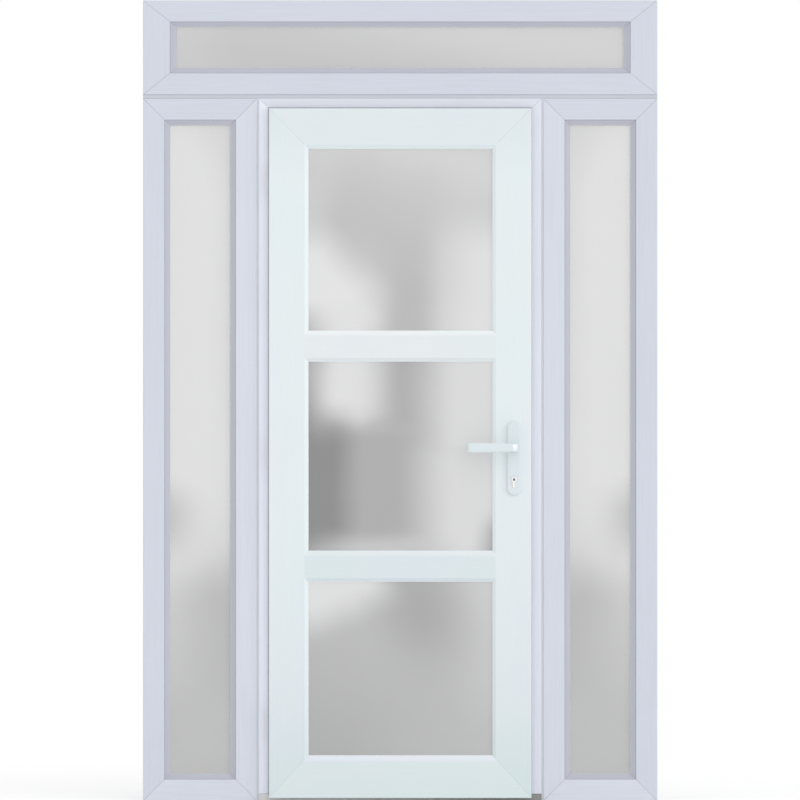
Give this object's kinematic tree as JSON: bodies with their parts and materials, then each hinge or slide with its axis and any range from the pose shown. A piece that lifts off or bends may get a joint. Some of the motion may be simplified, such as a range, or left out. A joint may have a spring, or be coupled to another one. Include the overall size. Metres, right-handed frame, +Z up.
{
  "type": "door with sidelights and transom light",
  "caption": "White entrance door set with a frosted three-pane leaf between two frosted sidelights under a frosted transom light, with lever handles and a low threshold.",
  "frame": {"origin": "middle of the threshold's underside, half way through the frame's depth", "axes": "+Z up, -Y towards the viewer and the side the leaf opens to, +X to the lock side"},
  "size_m": [1.488, 0.19, 2.316],
  "materials": {
    "frame_foil": "fine-grained white foil",
    "bead_grey": "satin grey-white",
    "coupler_grey": "satin",
    "leaf_white": "satin white",
    "frosted_glass": "acid-etched",
    "handle_white": "white powder coat",
    "lock_steel": "brushed",
    "hinge_steel": "zinc plated",
    "threshold_aluminium": "anodised"
  },
  "bodies": {
    "frame": {"transom_head": "frame_foil", "transom_sill": "frame_foil", "transom_left_jamb": "frame_foil", "transom_right_jamb": "frame_foil", "left_sidelight_head": "frame_foil", "left_sidelight_sill": "frame_foil", "left_sidelight_outer_jamb": "frame_foil", "left_sidelight_inner_jamb": "frame_foil", "right_sidelight_head": "frame_foil", "right_sidelight_sill": "frame_foil", "right_sidelight_outer_jamb": "frame_foil", "right_sidelight_inner_jamb": "frame_foil", "transom_beads": "bead_grey", "left_sidelight_beads": "bead_grey", "right_sidelight_beads": "bead_grey", "transom_glass": "frosted_glass", "left_sidelight_glass": "frosted_glass", "right_sidelight_glass": "frosted_glass", "transom_coupler": "coupler_grey", "sidelight_couplers": "coupler_grey", "door_head": "frame_foil", "hinge_jamb": "frame_foil", "lock_jamb": "frame_foil", "threshold": "threshold_aluminium", "strike_plate": "lock_steel", "hinge_brackets": "hinge_steel"},
    "leaf": {"hinge_stile": "leaf_white", "lock_stile": "leaf_white", "top_rail": "leaf_white", "bottom_rail": "leaf_white", "upper_mid_rail": "leaf_white", "lower_mid_rail": "leaf_white", "top_pane": "frosted_glass", "middle_pane": "frosted_glass", "bottom_pane": "frosted_glass", "leaf_beads": "leaf_white", "lock_faceplate": "lock_steel", "lock_cylinder": "lock_steel", "hinge_leaves": "hinge_steel", "hinge_pins": "hinge_steel", "front_handle_plate": "handle_white", "back_handle_plate": "handle_white"},
    "lever": {"front_lever": "handle_white", "back_lever": "handle_white", "spindle": "lock_steel"}
  },
  "joints": [
    {"name": "door_swing", "type": "hinge", "parent": "frame", "child": "leaf", "pos_m": [-0.3715, -0.052, 1.006], "axis": [0, 0, -1], "range_deg": [0, 90]},
    {"name": "lever_turn", "type": "hinge", "parent": "leaf", "child": "lever", "pos_m": [0.329, -0.025, 1.022], "axis": [0, -1, 0], "range_deg": [0, 35], "stiffness_Nm_per_rad": 1.5, "springref_deg": -34.38}
  ]
}
